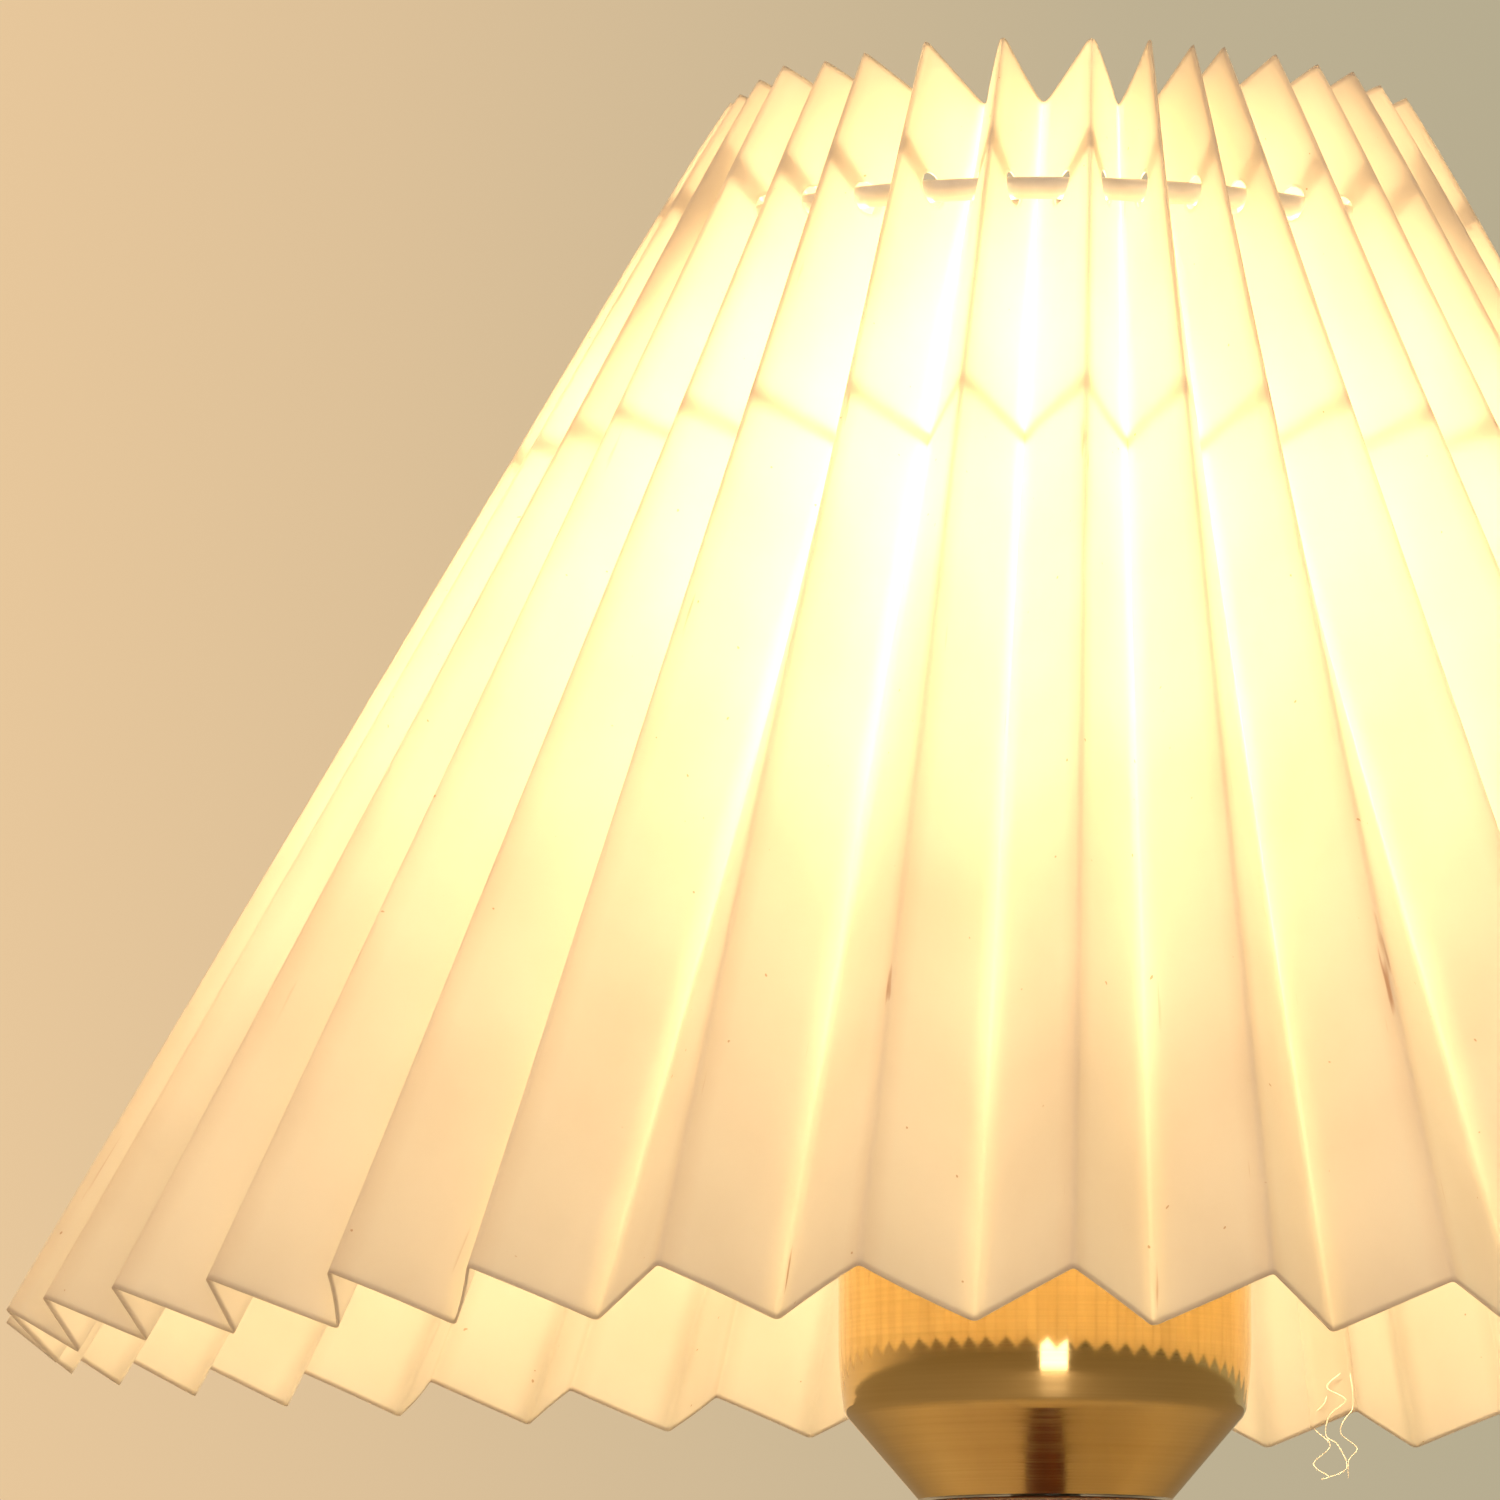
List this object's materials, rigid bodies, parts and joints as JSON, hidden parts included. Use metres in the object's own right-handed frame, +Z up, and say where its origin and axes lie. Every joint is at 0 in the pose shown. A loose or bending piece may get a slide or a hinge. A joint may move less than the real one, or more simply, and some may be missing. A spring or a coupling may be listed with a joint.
{
  "type": "table lamp with shade",
  "caption": "Table lamp with a pleated translucent cone shade on a wire carrier, a brass cup and a turned dark wooden stem on a round weighted base in dark lacquer.",
  "frame": {"origin": "centre of the base, on the surface that the lamp stands on", "axes": "+Z up along the stem; -Y towards the front; +Y towards the cord inlet at the back; +X right"},
  "size_m": [0.3, 0.3, 0.4509],
  "materials": {
    "felt": "matt dark green pressed felt",
    "cast_iron": "rough black cast iron",
    "brass": "polished and lacquered, fine turned brush lines",
    "zinc_steel": "zinc plated steel",
    "black_plastic": "moulded black phenolic, half gloss",
    "dark_wood": "dark red brown hardwood, gloss lacquer",
    "dark_lacquer": "dark red brown gloss lacquer on spun steel",
    "porcelain": "white glazed porcelain",
    "brass_contact": "plain pressed brass",
    "bronze_contact": "spring bronze",
    "white_wire": "white enamelled steel",
    "shade_sheet": "thin translucent white sheet, satin",
    "bulb_glass": "lightly frosted glass",
    "nickel": "nickel plated brass, satin",
    "black_glass": "black vitrite glass",
    "solder": "dull solder"
  },
  "bodies": {
    "stand": {"felt_pad": "felt", "base_weight": "cast_iron", "base_cover": "dark_lacquer", "base_washer": "zinc_steel", "base_nut": "zinc_steel", "cord_inlet_bush": "black_plastic", "threaded_rod": "zinc_steel", "foot_collar": "brass", "stem": "dark_wood", "cup": "brass", "cup_washer": "zinc_steel", "cup_nut": "zinc_steel", "lampholder_base": "black_plastic", "lampholder_shell": "black_plastic", "shade_seat_ring": "black_plastic", "lampholder_insert": "porcelain", "screw_shell": "brass_contact", "terminal_screw_line": "zinc_steel", "terminal_screw_neutral": "zinc_steel"},
    "shade": {"carrier_fitter_ring": "white_wire", "carrier_arm_back": "white_wire", "carrier_arm_left": "white_wire", "carrier_arm_right": "white_wire", "carrier_lower_ring": "white_wire", "carrier_top_ring": "white_wire", "pleated_shade": "shade_sheet"},
    "clamp_ring": {"shade_clamp_ring": "black_plastic"},
    "bulb_seat": {"bulb_tip": "solder"},
    "bulb": {"bulb_glass": "bulb_glass", "bulb_cap": "nickel", "bulb_insulator": "black_glass", "filament_mount": "bulb_glass", "filament": "bronze_contact"},
    "contact_spring": {"centre_contact": "bronze_contact"}
  },
  "joints": [
    {"name": "shade_turn", "type": "hinge", "parent": "stand", "child": "shade", "pos_m": [0, 0, 0.304], "axis": [0, 0, 1], "continuous": true},
    {"name": "clamp_ring_turn", "type": "hinge", "parent": "stand", "child": "clamp_ring", "pos_m": [0, 0, 0.304], "axis": [0, 0, 1], "range_deg": [-10, 900]},
    {"name": "bulb_lift", "type": "slide", "parent": "stand", "child": "bulb_seat", "axis": [0, 0, 1], "range_m": [0, 0.0182]},
    {"name": "bulb_turn", "type": "hinge", "parent": "bulb_seat", "child": "bulb", "pos_m": [0, 0, 0.2808], "axis": [0, 0, 1], "range_deg": [0, 1800]},
    {"name": "contact_press", "type": "hinge", "parent": "stand", "child": "contact_spring", "pos_m": [-0.005, 0, 0.278], "axis": [0, 1, 0], "range_deg": [0, 6], "stiffness_Nm_per_rad": 0.3}
  ],
  "couplings": [
    {"joint": "bulb_lift", "follows": "bulb_turn", "m_per_rad": 0.00057757}
  ]
}
